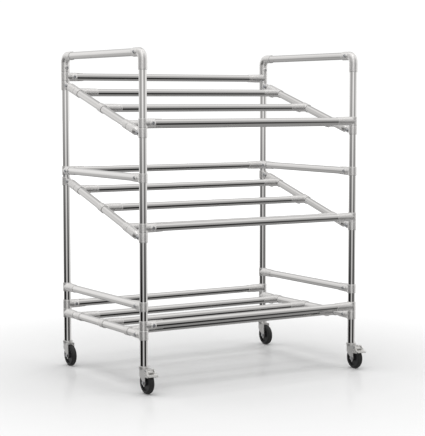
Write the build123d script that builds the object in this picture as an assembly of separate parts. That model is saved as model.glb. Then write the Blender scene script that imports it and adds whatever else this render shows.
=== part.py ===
from build123d import *
import math
import os

# Rack trolley of round aluminium tube and die-cast joints, on four swivel casters.
# X runs across the trolley, Y runs from the low front edge of the shelves to the rear,
# Z is up. The origin is on the floor, midway between the four uprights. Millimetres.

# ---- driving dimensions: tube frame -------------------------------------------------
upright_spacing_x = 920.0       # between the upright axes, left to right
upright_spacing_y = 626.0       # between the upright axes, front to rear
top_rear_height = 1130.0        # axis of the top shelf's rear rail, above the floor
middle_rear_height = 767.0      # axis of the middle shelf's rear rail and its side guards
guard_height = 310.0            # axis of the bottom shelf's side guards
bottom_height = 242.0           # axes of the bottom shelf's front and rear rails
shelf_drop = 170.0              # fall of a sloped shelf, rear pivot to front pivot
handle_rise = 80.0              # handle axis above the top rear rail
cross_inset = 116.0             # outer cross tubes, from the upright axes

tube_diameter = 28.0
tube_wall = 1.5

# ---- driving dimensions: cast joints ------------------------------------------------
casting_wall = 2.4              # wall of a joint around the tube it holds
casting_clearance = 0.1         # radial, between a tube and the joint around it
joint_length = 34.0             # a joint's sleeve, along the tube that passes through it
joint_gap = 0.4                 # between two joints stacked on one upright
pivot_drop_gap = 7.5            # bare upright between the middle corner joint and its pivot
branch_length = 44.0            # a tee's socket, from the through tube's axis
tongue_length = 77.0            # a tee's tapered tongue, from the same axis
branch_seat = 2.0               # between the through tube and the end of the branch tube
tongue_lip = 0.6                # wall at the thin end of the tongue
handle_leg = 64.0               # an elbow's leg along the handle, from the corner
bend_radius = 26.0              # of an elbow's centre line
elbow_seat = 20.0               # from the corner to the end of each tube in an elbow
elbow_core_wall = 4.5           # wall of an elbow round its bend
pivot_lug_reach = 8.5           # pivot bolt beyond the clamp's outside
pivot_lug_radius = 10.5
socket_setback = 25.0           # from a pivot bolt to the start of the rail's socket
socket_floor = 6.0              # solid metal between the tongue and the end of the rail
socket_nose = 11.0              # tapered metal between the tongue and the socket
ear_thickness = 5.0
tongue_thickness = 7.0          # of the flat tongue between a pivot clamp's two ears
plate_clearance = 0.15          # between the tongue and each ear
clamp_slit = 3.0

# ---- driving dimensions: screws -----------------------------------------------------
screw_diameter = 8.0
screw_head_diameter = 12.0
screw_head_height = 5.0
hex_key = 5.0                   # across the flats of the socket in a screw head
hex_depth = 3.2
boss_radius = 8.5
boss_height = 3.2               # of the screw boss, above the socket's outside
screw_place = 31.0              # screw axis, from the through tube's axis or an elbow's corner
low_boss_radius = 7.0           # of the low boss that a flush set screw sits in
low_boss_height = 1.5
set_screw_key = 4.0             # across the flats of the socket in a set screw
set_screw_key_depth = 2.0
nut_across_flats = 13.0
nut_height = 6.5
thread_clearance = 0.05         # radial, between a screw and the hole it is in

# ---- driving dimensions: casters ----------------------------------------------------
wheel_diameter = 84.0
wheel_width = 20.0
tread_thickness = 8.0
tread_rounding = 8.0
hub_boss_radius = 11.0
hub_web_thickness = 9.0
rim_thickness = 3.5
axle_diameter = 8.0
running_clearance = 0.05        # radial, hub on axle and fork on king pin
side_clearance = 0.3            # hub to fork leg, each side
wheel_overhang = 3.0            # hub wider than the tyre, in all
trail = 24.0                    # axle in front of the swivel axis
tyre_gap = 3.0                  # between the tyre and the fork's crown
crown_thickness = 3.5
crown_radius = 18.0
race_gap = 0.3
collar_height = 6.2
collar_radius = 19.0
leg_thickness = 2.2
leg_end_radius = 8.5
leg_tip_drop = 12.0             # rounded tip of a fork leg, below the axle
leg_tip_radius = 3.0
king_pin_diameter = 10.0
rivet_radius = 8.0
rivet_height = 3.0
plug_length = 46.0              # rubber expander inside the foot of an upright
plug_clearance = 0.1
plug_groove_depth = 0.8
plug_groove_width = 2.0
plug_groove_count = 4
ball_diameter = 3.0
ball_circle_radius = 12.5
ball_count = 12
ball_clearance = 0.05

# ---- driving dimensions: brake pedals on the two front casters -----------------------
pedal_pin_diameter = 4.0
pedal_pin_reach = 40.0          # pin in front of the swivel axis
pedal_pin_drop = 9.5            # pin below the foot of the upright
pedal_sheet = 2.0
pedal_width = 38.0
pedal_neck_drop = 5.5           # root of the lower tab, below the pin
pedal_reach = 73.0              # tip of the lower tab, in front of the swivel axis
pedal_tip_drop = 28.5           # tip of the lower tab, below the foot
release_reach = 59.0            # tip of the upper tab, in front of the swivel axis
release_width = 20.0
release_tip_drop = 16.5
cheek_bottom_drop = 33.5        # lower edge of the pedal's side cheeks, below the foot
ear_side_clearance = 0.3
pedal_travel = 10.0             # degrees, from up to braked
cam_angle = 40.0                # degrees, cam ahead of the line from pin to axle, pedal up
cam_tip_radius = 1.2
cam_clearance = 0.3             # cam to tyre, with the pedal down
cam_width = 12.0

# ---- what follows from them ----------------------------------------------------------
tube_radius = tube_diameter / 2
bore_radius = tube_radius + casting_clearance
sleeve_radius = bore_radius + casting_wall
foot_height = wheel_diameter + tyre_gap + crown_thickness + race_gap + collar_height
handle_height = top_rear_height + handle_rise
joint_span = max(joint_length, 2 * sleeve_radius)
upright_leg = handle_rise - joint_span / 2 - joint_gap
stack_step = joint_span + joint_gap
top_pivot_rear = top_rear_height - stack_step
top_pivot_front = top_pivot_rear - shelf_drop
top_front_height = top_pivot_front + stack_step
middle_pivot_rear = middle_rear_height - joint_span - pivot_drop_gap
middle_pivot_front = middle_pivot_rear - shelf_drop
middle_front_height = middle_pivot_front + stack_step
bottom_side_height = bottom_height - stack_step
half_x = upright_spacing_x / 2
half_y = upright_spacing_y / 2
pivot_reach = sleeve_radius + pivot_lug_reach
pivot_span = upright_spacing_y - 2 * pivot_reach
shelf_angle = math.degrees(math.atan2(shelf_drop, pivot_span))
branch_start = tube_radius + branch_seat
axle_height = wheel_diameter / 2
hub_width = wheel_width + wheel_overhang
fork_inside = hub_width / 2 + side_clearance
fork_outside = fork_inside + leg_thickness
crown_bottom = wheel_diameter + tyre_gap
crown_top = crown_bottom + crown_thickness
collar_bottom = crown_top + race_gap

nodes = {}


def add(name, shape):
    """Puts the solids of a shape into the named node."""
    nodes.setdefault(name, []).extend(shape.solids())


def rod(radius, length):
    """A solid cylinder on +Z, starting at the origin."""
    return Cylinder(radius, length, align=(Align.CENTER, Align.CENTER, Align.MIN))


def along(start, direction, spin=(0, 0, 1)):
    """The place whose +Z is the direction and whose +X lies nearest to spin."""
    return Plane(origin=start, x_dir=spin, z_dir=direction).location


def tube(start, end):
    """A hollow tube between two points on its axis."""
    start = Vector(*start)
    run = Vector(*end) - start
    side = (0, 0, 1) if abs(run.Z) < abs(run.Y) + abs(run.X) else (1, 0, 0)
    side = (Vector(*side) - run.normalized() * Vector(*side).dot(run.normalized())).normalized()
    solid = rod(tube_radius, run.length) - rod(tube_radius - tube_wall, run.length)
    return along(start, run.normalized(), side) * solid


def socket_screw(shank_length):
    """A hex socket cap screw, head up, with the underside of its head at the origin."""
    head = rod(screw_head_diameter / 2, screw_head_height)
    head = chamfer(head.edges().group_by(Axis.Z)[-1], 0.6)
    shank = Pos(0, 0, -shank_length) * rod(screw_diameter / 2, shank_length)
    recess = extrude(RegularPolygon(hex_key / 2, 6, major_radius=False), hex_depth)
    return head + shank - Pos(0, 0, screw_head_height - hex_depth) * recess


def set_screw(length):
    """A hex socket set screw, its socket up, with its point at the origin."""
    body = rod(screw_diameter / 2, length)
    body = chamfer(body.edges().group_by(Axis.Z)[-1], 0.4)
    recess = extrude(RegularPolygon(set_screw_key / 2, 6, major_radius=False), set_screw_key_depth)
    return body - Pos(0, 0, length - set_screw_key_depth) * recess


def hex_nut(hole_radius):
    """A plain nut, its lower face at the origin."""
    body = extrude(RegularPolygon(nut_across_flats / 2, 6, major_radius=False), nut_height)
    return body - rod(hole_radius, nut_height)


# ---- tee and corner joints -----------------------------------------------------------
# The through tube runs along Z, the branch along +X and the screw faces -Y.

screw_seat = sleeve_radius + boss_height - screw_head_height / 2


def branch(angle, face_radius, face_height):
    """The socket, tongue and screw boss of one branch, turned about Z."""
    socket = rod(sleeve_radius, branch_length)
    taper = Cone(
        sleeve_radius, bore_radius + tongue_lip, tongue_length - branch_length,
        align=(Align.CENTER, Align.CENTER, Align.MIN))
    keep = Pos(0, sleeve_radius * 0.6, 0) * Box(
        3 * sleeve_radius, 2 * sleeve_radius, tongue_length,
        align=(Align.CENTER, Align.CENTER, Align.MIN))
    tongue = Pos(0, 0, branch_length) * taper & keep
    out = along((0, 0, 0), (1, 0, 0)) * (socket + tongue)
    boss = along((screw_place, 0, 0), (0, -1, 0)) * rod(face_radius, sleeve_radius + face_height)
    return Rot(0, 0, angle) * (out + boss)


def branch_cuts(angle, seat_height):
    """What is bored out of one branch: the tube socket and the screw's stepped hole."""
    socket = along((branch_start, 0, 0), (1, 0, 0)) * rod(bore_radius, tongue_length)
    hole = along((screw_place, 0, 0), (0, -1, 0)) * rod(
        screw_diameter / 2 + thread_clearance, sleeve_radius + boss_height)
    seat = along((screw_place, -seat_height, 0), (0, -1, 0)) * rod(
        screw_head_diameter / 2 + thread_clearance, sleeve_radius)
    return Rot(0, 0, angle) * (socket + hole + seat)


def tee_joint(angles=(0,), flush=False):
    """A sleeve on the through tube, with a branch at each of the given angles."""
    face_radius = low_boss_radius if flush else boss_radius
    face_height = low_boss_height if flush else boss_height
    seat_height = 2 * sleeve_radius if flush else screw_seat
    sleeve = Pos(0, 0, -joint_length / 2) * rod(sleeve_radius, joint_length)
    body = sleeve
    for angle in angles:
        body = body + branch(angle, face_radius, face_height)
    body = body - Pos(0, 0, -joint_length) * rod(bore_radius, 2 * joint_length)
    for angle in angles:
        body = body - branch_cuts(angle, seat_height)
    return body


def tee_screw(angle=0):
    """The screw of one branch, its point on the branch tube."""
    shank = screw_seat - tube_radius - thread_clearance
    return Rot(0, 0, angle) * along((screw_place, -screw_seat, 0), (0, -1, 0)) * socket_screw(shank)


set_screw_start = tube_radius + thread_clearance
flush_screw = set_screw(sleeve_radius + low_boss_height - set_screw_start)

tee = tee_joint()
flush_tee = tee_joint(flush=True)
corner = tee_joint((0, 90))
tee_fixing = tee_screw()
flush_fixing = along((screw_place, -set_screw_start, 0), (0, -1, 0)) * flush_screw


def upright_tee(node, x, y, z, angle, turned_over=False):
    """A tee on an upright, its branch turned about Z, its screw on either face."""
    place = Pos(x, y, z) * Rot(0, 0, angle)
    if turned_over:
        place = place * Rot(180, 0, 0)
    add(node, place * tee)
    add("joint_screws", place * tee_fixing)


# ---- uprights, handles and elbows ----------------------------------------------------

elbow_core_radius = sleeve_radius - elbow_core_wall


def elbow_joint():
    """A 90 degree elbow: one leg down -Z, one leg along +Y, its corner at the origin."""
    up_part = Pos(0, 0, -upright_leg) * rod(sleeve_radius, upright_leg - bend_radius)
    side_part = along((0, bend_radius, 0), (0, 1, 0)) * rod(sleeve_radius, handle_leg - bend_radius)
    bend_axis = Axis((0, bend_radius, -bend_radius), (1, 0, 0))
    ring = Plane(origin=(0, 0, -bend_radius), x_dir=(1, 0, 0), z_dir=(0, 0, 1))
    bend = revolve(ring * Circle(sleeve_radius), bend_axis, -90)
    core = revolve(ring * Circle(elbow_core_radius), bend_axis, -90)
    boss = handle_screw_foot * rod(boss_radius, sleeve_radius + boss_height)
    low_boss = upright_screw_foot * rod(low_boss_radius, sleeve_radius + low_boss_height)
    body = up_part + side_part + bend + boss + low_boss
    body = body - Pos(0, 0, -upright_leg) * rod(bore_radius, upright_leg - elbow_seat)
    body = body - along((0, elbow_seat, 0), (0, 1, 0)) * rod(bore_radius, handle_leg)
    body = body - core
    hole = rod(screw_diameter / 2 + thread_clearance, sleeve_radius + boss_height)
    seat = Pos(0, 0, screw_seat) * rod(screw_head_diameter / 2 + thread_clearance, sleeve_radius)
    return body - handle_screw_foot * (hole + seat) - upright_screw_foot * hole


upright_screw = (bend_radius + upright_leg) / 2
handle_screw_foot = along((0, screw_place, 0), (-1, 0, 0))
upright_screw_foot = along((0, 0, -upright_screw), (0, 1, 0))
elbow = elbow_joint()
cap_screw = socket_screw(screw_seat - tube_radius - thread_clearance)
elbow_fixing = handle_screw_foot * Pos(0, 0, screw_seat) * cap_screw
elbow_flush_fixing = upright_screw_foot * Pos(0, 0, set_screw_start) * flush_screw

sides = (("left", -1), ("right", 1))
ends = (("front", -1), ("rear", 1))

for side_name, side in sides:
    for end_name, end in ends:
        x, y = side * half_x, end * half_y
        add(f"upright_{end_name}_{side_name}",
            tube((x, y, foot_height), (x, y, handle_height - elbow_seat)))
        corner_place = Pos(x, y, handle_height) * Rot(0, 0, 0 if end < 0 else 180)
        add("handle_elbows", corner_place * elbow)
        add("joint_screws", corner_place * elbow_fixing)
        add("joint_screws", corner_place * elbow_flush_fixing)
    reach = half_y - elbow_seat
    add(f"handle_tube_{side_name}",
        tube((side * half_x, -reach, handle_height), (side * half_x, reach, handle_height)))


# ---- rails across the trolley, and guards along its sides -----------------------------

def cross_rail(node, joints, y, z):
    """A rail between the left and right uprights, on a tee at each end."""
    reach = half_x - branch_start
    add(node, tube((-reach, y, z), (reach, y, z)))
    upright_tee(joints, -half_x, y, z, 0)
    upright_tee(joints, half_x, y, z, 180)


def side_tube(node, x, z):
    """A level tube between a front and a rear upright."""
    reach = half_y - branch_start
    add(node, tube((x, -reach, z), (x, reach, z)))


cross_rail("top_front_rail", "top_rail_joints", -half_y, top_front_height)
cross_rail("top_rear_rail", "top_rail_joints", half_y, top_rear_height)
cross_rail("middle_front_rail", "middle_rail_joints", -half_y, middle_front_height)
cross_rail("bottom_front_rail", "bottom_rail_joints", -half_y, bottom_height)
cross_rail("bottom_rear_rail", "bottom_rail_joints", half_y, bottom_height)

# The middle rear rail shares a two-way corner joint with each side guard.
middle_reach = half_x - branch_start
add("middle_rear_rail", tube(
    (-middle_reach, half_y, middle_rear_height), (middle_reach, half_y, middle_rear_height)))
left_corner = Pos(-half_x, half_y, middle_rear_height) * Rot(0, 0, -90)
right_corner = Pos(half_x, half_y, middle_rear_height) * Rot(0, 0, 180)
for place in (left_corner, right_corner):
    add("middle_corner_joints", place * corner)
    add("joint_screws", place * tee_fixing)
    add("joint_screws", place * tee_screw(90))

for side_name, side in sides:
    x = side * half_x
    side_tube(f"middle_side_guard_{side_name}", x, middle_rear_height)
    upright_tee("middle_rail_joints", x, -half_y, middle_rear_height, 90, True)
    side_tube(f"bottom_side_guard_{side_name}", x, guard_height)
    upright_tee("side_tube_joints", x, -half_y, guard_height, 90, True)
    upright_tee("side_tube_joints", x, half_y, guard_height, -90, True)
    side_tube(f"bottom_side_rail_{side_name}", x, bottom_side_height)
    upright_tee("side_tube_joints", x, -half_y, bottom_side_height, 90, True)
    upright_tee("side_tube_joints", x, half_y, bottom_side_height, -90, True)


# ---- pivot joints that hold the two sloped shelves -------------------------------------
# A split clamp on the upright, its ears along +X, the bolt through them along Y.

rail_angle_length = pivot_span / math.cos(math.radians(shelf_angle))
cross_step = (cross_inset - pivot_reach) / math.cos(math.radians(shelf_angle))
socket_end = cross_step - joint_span / 2 - joint_gap
socket_start = socket_setback
rail_start = socket_start + socket_floor
ear_outside = tongue_thickness / 2 + plate_clearance + ear_thickness


def pivot_clamp():
    """The clamp round an upright, with two ears for the pivot bolt."""
    body = Pos(0, 0, -joint_length / 2) * rod(sleeve_radius, joint_length)
    lug_plan = Pos(pivot_reach / 2, 0) * Rectangle(pivot_reach, 2 * pivot_lug_radius)
    lug_plan = lug_plan + Pos(pivot_reach, 0) * Circle(pivot_lug_radius)
    upright_face = Plane(origin=(0, ear_outside, 0), x_dir=(1, 0, 0), z_dir=(0, -1, 0))
    body = body + extrude(upright_face * lug_plan, 2 * ear_outside)
    body = body - Pos(0, 0, -joint_length) * rod(bore_radius, 2 * joint_length)
    slot_width = tongue_thickness + 2 * plate_clearance
    slot = Box(4 * pivot_lug_radius, slot_width, 3 * pivot_lug_radius,
               align=(Align.MIN, Align.CENTER, Align.CENTER))
    body = body - Pos(sleeve_radius - casting_wall / 2, 0, 0) * slot
    slit = Box(2 * sleeve_radius, clamp_slit, 2 * joint_length,
               align=(Align.MIN, Align.CENTER, Align.CENTER))
    body = body - slit
    hole = rod(screw_diameter / 2 + thread_clearance, 3 * ear_outside)
    return body - along((pivot_reach, -1.5 * ear_outside, 0), (0, 1, 0)) * hole


def pivot_socket():
    """The socket on the end of a sloped rail: pivot at the origin, rail along +X."""
    sleeve = along((socket_start, 0, 0), (1, 0, 0)) * rod(sleeve_radius, socket_end - socket_start)
    nose = along((socket_start - socket_nose, 0, 0), (1, 0, 0)) * Cone(
        pivot_lug_radius * 0.85, sleeve_radius, socket_nose,
        align=(Align.CENTER, Align.CENTER, Align.MIN))
    plan = Pos(socket_start / 2 + 1, 0) * Rectangle(socket_start + 2, 1.7 * pivot_lug_radius)
    plan = plan + Circle(pivot_lug_radius * 0.85)
    face = Plane(origin=(0, tongue_thickness / 2, 0), x_dir=(1, 0, 0), z_dir=(0, -1, 0))
    body = sleeve + nose + extrude(face * plan, tongue_thickness)
    body = body - along((rail_start, 0, 0), (1, 0, 0)) * rod(bore_radius, socket_end)
    hole = rod(screw_diameter / 2 + thread_clearance, 2 * tongue_thickness)
    return body - along((0, -tongue_thickness, 0), (0, 1, 0)) * hole


def pivot_bolt():
    """The bolt through the ears and the tongue, its head on the -Y side."""
    return along((0, -ear_outside, 0), (0, -1, 0)) * socket_screw(2 * ear_outside + nut_height)


def pivot_nut():
    """The nut on the +Y side of the ears."""
    return along((0, ear_outside, 0), (0, 1, 0)) * hex_nut(screw_diameter / 2 + thread_clearance)


clamp = pivot_clamp()
rail_socket = pivot_socket()
bolt = pivot_bolt()
nut = pivot_nut()


def sloped_shelf(name, rear_pivot_z, front_pivot_z):
    """Side rails, their pivot joints and the cross tubes of one sloped shelf."""
    for side_name, side in sides:
        x = side * half_x
        for end, z in ((-1, front_pivot_z), (1, rear_pivot_z)):
            facing = 90 if end < 0 else -90
            place = Pos(x, end * half_y, z) * Rot(0, 0, facing)
            if end < 0:
                place = place * Rot(180, 0, 0)
            add("pivot_clamps", place * clamp)
            hinge = place * Pos(pivot_reach, 0, 0)
            add("pivot_bolts", hinge * bolt)
            add("pivot_bolts", hinge * nut)
        foot = Pos(x, -half_y + pivot_reach, front_pivot_z) * Rot(shelf_angle, 0, 0) * Rot(0, 0, 90)
        add("rail_sockets", foot * rail_socket)
        add("rail_sockets", foot * Pos(rail_angle_length, 0, 0) * Rot(0, 0, 180) * rail_socket)
        add(f"{name}_side_rail_{side_name}", foot * tube(
            (rail_start, 0, 0), (rail_angle_length - rail_start, 0, 0)))
    slope = Pos(0, -half_y + pivot_reach, front_pivot_z) * Rot(shelf_angle, 0, 0)
    cross_tubes(name, slope, (cross_step, rail_angle_length / 2, rail_angle_length - cross_step))


def cross_tubes(name, plane, steps):
    """Cross tubes at the given distances along a shelf, on a tee at each end."""
    reach = half_x - branch_start
    for step in steps:
        row = plane * Pos(0, step, 0)
        add(f"{name}_cross_tubes", row * tube((-reach, 0, 0), (reach, 0, 0)))
        left = row * Pos(-half_x, 0, 0) * Rot(90, 0, 0)
        right = row * Pos(half_x, 0, 0) * Rot(0, 0, 180) * Rot(90, 0, 0)
        for place in (left, right):
            add("cross_tube_joints", place * flush_tee)
            add("joint_screws", place * flush_fixing)


sloped_shelf("top", top_pivot_rear, top_pivot_front)
sloped_shelf("middle", middle_pivot_rear, middle_pivot_front)
cross_tubes("bottom", Pos(0, -half_y, bottom_side_height),
            (cross_inset, half_y, upright_spacing_y - cross_inset))


# ---- casters ---------------------------------------------------------------------------
# Each caster is modelled with its swivel axis on Z, its wheel trailing towards -Y.

ball_seat = collar_bottom + ball_clearance


def caster_collar():
    """The fixed race: a collar under the upright, grooved below for the balls."""
    body = Pos(0, 0, collar_bottom) * rod(collar_radius, collar_height)
    body = fillet(body.edges().group_by(Axis.Z)[-1], 1.5)
    groove = Pos(0, 0, collar_bottom) * Torus(ball_circle_radius, ball_diameter / 2 + ball_clearance)
    return body - groove - Pos(0, 0, collar_bottom) * rod(king_pin_diameter / 2, collar_height)


def caster_balls():
    """The ring of balls between the collar and the fork's crown."""
    balls = []
    for number in range(ball_count):
        turn = Rot(0, 0, number * 360 / ball_count)
        balls.append(turn * Pos(ball_circle_radius, 0, collar_bottom) * Sphere(ball_diameter / 2))
    return Compound(children=balls)


def caster_stem():
    """The king pin: riveted head below the crown, plain pin, and stem in the expander."""
    head_bottom = crown_bottom - race_gap - rivet_height
    head = Pos(0, 0, head_bottom) * rod(rivet_radius, rivet_height)
    head = fillet(head.edges().group_by(Axis.Z)[0], 1.2)
    pin = Pos(0, 0, head_bottom) * rod(
        king_pin_diameter / 2, foot_height + plug_length - head_bottom)
    return head + pin


def stem_plug():
    """The rubber expander that grips the inside of the upright."""
    radius = tube_radius - tube_wall - plug_clearance
    body = Pos(0, 0, foot_height) * rod(radius, plug_length)
    body = body - Pos(0, 0, foot_height) * rod(king_pin_diameter / 2, plug_length)
    pitch = plug_length / (plug_groove_count + 1)
    ring = rod(radius + 1, plug_groove_width) - rod(radius - plug_groove_depth, plug_groove_width)
    for number in range(plug_groove_count):
        body = body - Pos(0, 0, foot_height + pitch * (number + 1)) * ring
    return body


def leg_outline():
    """A fork leg seen along +X: broad under the crown, tapered below the axle."""
    with BuildSketch(Plane.YZ) as outline:
        with BuildLine():
            Polyline(
                (leg_back, crown_top), (leg_front, crown_top), (leg_front, crown_bottom - 4),
                (-trail - leg_end_radius, axle_height), (-trail - leg_tip_radius, leg_tip_height),
                (-trail + leg_tip_radius, leg_tip_height), (-trail + leg_end_radius, axle_height),
                (leg_back, crown_bottom - 22), (leg_back, crown_top))
        make_face()
        with Locations((-trail, axle_height)):
            Circle(leg_end_radius)
        with Locations((-trail, leg_tip_height)):
            Circle(leg_tip_radius)
    return outline.sketch


leg_back = crown_radius * 0.55
leg_front = -trail - 6.0
leg_tip_height = axle_height - leg_tip_drop


def caster_fork(with_ears):
    """The pressed fork: crown plate, king pin hole, two legs and, in front, pedal ears."""
    crown = Pos(0, 0, crown_bottom) * rod(crown_radius, crown_thickness)
    bridge = Pos(0, (leg_back + leg_front) / 2, crown_bottom) * Box(
        2 * fork_outside, leg_back - leg_front, crown_thickness,
        align=(Align.CENTER, Align.CENTER, Align.MIN))
    body = crown + bridge
    for side in (-1, 1):
        inner = side * fork_inside
        leg = extrude(leg_outline(), side * leg_thickness)
        body = body + Pos(inner, 0, 0) * leg
        if with_ears:
            body = body + Pos(inner, 0, 0) * extrude(ear_outline(), side * leg_thickness)
    pin_hole = rod(king_pin_diameter / 2 + running_clearance, 2 * crown_thickness)
    body = body - Pos(0, 0, crown_bottom - crown_thickness / 2) * pin_hole
    axle_hole = rod(axle_diameter / 2 + thread_clearance, 4 * fork_outside)
    body = body - along((-2 * fork_outside, -trail, axle_height), (1, 0, 0)) * axle_hole
    groove = Torus(ball_circle_radius, ball_diameter / 2 + race_gap / 2)
    body = body - Pos(0, 0, collar_bottom) * groove
    if with_ears:
        ear_hole = rod(pedal_pin_diameter / 2 + thread_clearance, 4 * fork_outside)
        ear_hole_start = (-2 * fork_outside, -pedal_pin_reach, pedal_pin_height)
        body = body - along(ear_hole_start, (1, 0, 0)) * ear_hole
    return body


pedal_pin_height = foot_height - pedal_pin_drop
ear_end_radius = pedal_pin_diameter / 2 + 3.0


def ear_outline():
    """The ear that carries the pedal's pin, seen along +X."""
    low = pedal_pin_height - ear_end_radius
    high = min(pedal_pin_height + ear_end_radius, crown_top)
    with BuildSketch(Plane.YZ) as outline:
        with BuildLine():
            Polyline(
                (leg_front + 8, low), (-pedal_pin_reach, low), (-pedal_pin_reach, high),
                (leg_front + 8, high), (leg_front + 8, low))
        make_face()
        with Locations((-pedal_pin_reach, pedal_pin_height)):
            Circle(ear_end_radius)
    return outline.sketch


def caster_tyre():
    """The rubber tread, with rounded shoulders."""
    tread = rod(wheel_diameter / 2, wheel_width)
    tread = fillet(tread.edges(), min(tread_rounding, wheel_width / 2 - 1, tread_thickness))
    tread = tread - rod(wheel_diameter / 2 - tread_thickness, wheel_width)
    return along((-wheel_width / 2, -trail, axle_height), (1, 0, 0)) * tread


def caster_hub():
    """The wheel's core: a rim under the tread, a web, and a boss that turns on the axle."""
    rim_radius = wheel_diameter / 2 - tread_thickness
    rim = rod(rim_radius, wheel_width - 2) - rod(rim_radius - rim_thickness, wheel_width - 2)
    rim = Pos(0, 0, -wheel_width / 2 + 1) * rim
    web = Pos(0, 0, -hub_web_thickness / 2) * rod(rim_radius - rim_thickness / 2, hub_web_thickness)
    boss = Pos(0, 0, -hub_width / 2) * rod(hub_boss_radius, hub_width)
    bore = Pos(0, 0, -hub_width) * rod(axle_diameter / 2 + running_clearance, 2 * hub_width)
    return along((0, -trail, axle_height), (1, 0, 0)) * (rim + web + boss - bore)


def caster_axle():
    """The axle bolt, its head on the -X side of the fork."""
    place = along((-fork_outside, -trail, axle_height), (-1, 0, 0))
    head = extrude(RegularPolygon(nut_across_flats / 2, 6, major_radius=False), screw_head_height)
    shank = Pos(0, 0, -2 * fork_outside - nut_height) * rod(
        axle_diameter / 2, 2 * fork_outside + nut_height)
    return place * (head + shank)


def caster_axle_nut():
    """The nut on the +X end of the axle."""
    place = along((fork_outside, -trail, axle_height), (1, 0, 0))
    return place * hex_nut(axle_diameter / 2 + thread_clearance)


# ---- brake pedals ------------------------------------------------------------------------

def pedal_pin():
    """The rivet through the fork's ears and the pedal's cheeks."""
    length = 2 * (cheek_inside + pedal_sheet + 1.8)
    pin = rod(pedal_pin_diameter / 2, length)
    heads = rod(pedal_pin_diameter / 2 + 1.5, 1.4)
    heads = heads + Pos(0, 0, length - 1.4) * heads
    return along((-length / 2, -pedal_pin_reach, pedal_pin_height), (1, 0, 0)) * (pin + heads)


cheek_inside = fork_outside + ear_side_clearance
cheek_bottom = foot_height - cheek_bottom_drop


def sheet_path(points, width):
    """Folded sheet metal: a bent line through the points, as wide as given along X."""
    with BuildSketch(Plane.YZ) as section:
        with BuildLine() as line:
            Polyline(*points)
        trace(line.line, pedal_sheet)
    body = extrude(section.sketch, width / 2, both=True)
    return body


def brake_cam():
    """The lobe under the pin that swings onto the tyre when the pedal goes down."""
    pin_to_axle = math.hypot(pedal_pin_reach - trail, pedal_pin_height - axle_height)
    down_angle = math.radians(cam_angle - pedal_travel)
    stop_distance = wheel_diameter / 2 + cam_tip_radius + cam_clearance
    nearest = pin_to_axle * math.cos(down_angle)
    lobe_reach = nearest - math.sqrt(nearest ** 2 - pin_to_axle ** 2 + stop_distance ** 2)
    heading = math.atan2(axle_height - pedal_pin_height, pedal_pin_reach - trail)
    heading = heading - math.radians(cam_angle)
    tip_y = -pedal_pin_reach + lobe_reach * math.cos(heading)
    tip_z = pedal_pin_height + lobe_reach * math.sin(heading)
    tip = along((-cam_width / 2, tip_y, tip_z), (1, 0, 0)) * rod(cam_tip_radius, cam_width)
    web = Pos(0, -pedal_pin_reach, pedal_pin_height) * Rot(math.degrees(heading), 0, 0) * Box(
        cam_width, lobe_reach, 2 * cam_tip_radius,
        align=(Align.CENTER, Align.MIN, Align.CENTER))
    return tip + web


def cheek_outline(bend):
    """A side cheek of the pedal, seen along +X: from behind the pin to the lower tab."""
    back = -pedal_pin_reach + ear_end_radius + 1
    with BuildSketch(Plane.YZ) as outline:
        with BuildLine():
            Polyline(
                (back, pedal_pin_height + 3), (-pedal_pin_reach - 5, pedal_pin_height + 3),
                bend, (-pedal_reach + 12, cheek_bottom + 3), (-pedal_reach + 16, cheek_bottom),
                (back + 1, cheek_bottom), (back, cheek_bottom + 3),
                (back, pedal_pin_height + 3))
        make_face()
    return outline.sketch


def brake_pedal():
    """The toe pedal: a hub on the pin, side cheeks, a long lower tab and a release tab."""
    pin_y = -pedal_pin_reach
    pin_z = pedal_pin_height
    hub_radius = pedal_pin_diameter / 2 + running_clearance + 1.8
    hub_length = 2 * (fork_inside - ear_side_clearance)
    hub = along((-hub_length / 2, pin_y, pin_z), (1, 0, 0)) * rod(hub_radius, hub_length)
    front_of_ears = pin_y - ear_end_radius - 2.5
    tip_z = foot_height - pedal_tip_drop
    release_z = foot_height - release_tip_drop
    root = (front_of_ears, pin_z - pedal_neck_drop)
    bend = (-pedal_reach + 10.5, tip_z + 4)
    neck = sheet_path(((pin_y - hub_radius / 2, pin_z), root), hub_length)
    lower = sheet_path((root, bend, (-pedal_reach, tip_z)), pedal_width)
    upper = sheet_path(
        ((front_of_ears + 1, root[1] + 1.5), (-release_reach + 3.5, release_z + 0.5),
         (-release_reach, release_z)), release_width)
    body = hub + neck + lower + upper + brake_cam()
    for side in (-1, 1):
        cheek = extrude(cheek_outline(bend), side * pedal_sheet)
        body = body + Pos(side * cheek_inside, 0, 0) * cheek
    hole = rod(pedal_pin_diameter / 2 + running_clearance, 4 * hub_length)
    return body - along((-2 * hub_length, pin_y, pin_z), (1, 0, 0)) * hole


for end_name, end in ends:
    for side_name, side in sides:
        place = Pos(side * half_x, end * half_y, 0)
        corner_name = f"{end_name}_{side_name}"
        braked = end < 0
        add("caster_collars", place * caster_collar())
        add("caster_balls", place * caster_balls())
        add("caster_stems", place * caster_stem())
        add("caster_expanders", place * stem_plug())
        add(f"fork_{corner_name}", place * caster_fork(braked))
        add(f"axle_{corner_name}", place * caster_axle())
        add(f"axle_{corner_name}", place * caster_axle_nut())
        add(f"hub_{corner_name}", place * caster_hub())
        add(f"tyre_{corner_name}", place * caster_tyre())
        if braked:
            add(f"brake_pedal_{side_name}", place * brake_pedal())
            add(f"axle_{corner_name}", place * pedal_pin())

os.makedirs("parts", exist_ok=True)
for name, solids in nodes.items():
    shape = solids[0] if len(solids) == 1 else Compound(children=solids)
    export_step(shape, f"parts/{name}.step")
print(len(nodes), "nodes,", sum(len(solids) for solids in nodes.values()), "solids")
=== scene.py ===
import bpy
import bmesh
import math
from mathutils import Matrix, Vector


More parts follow.
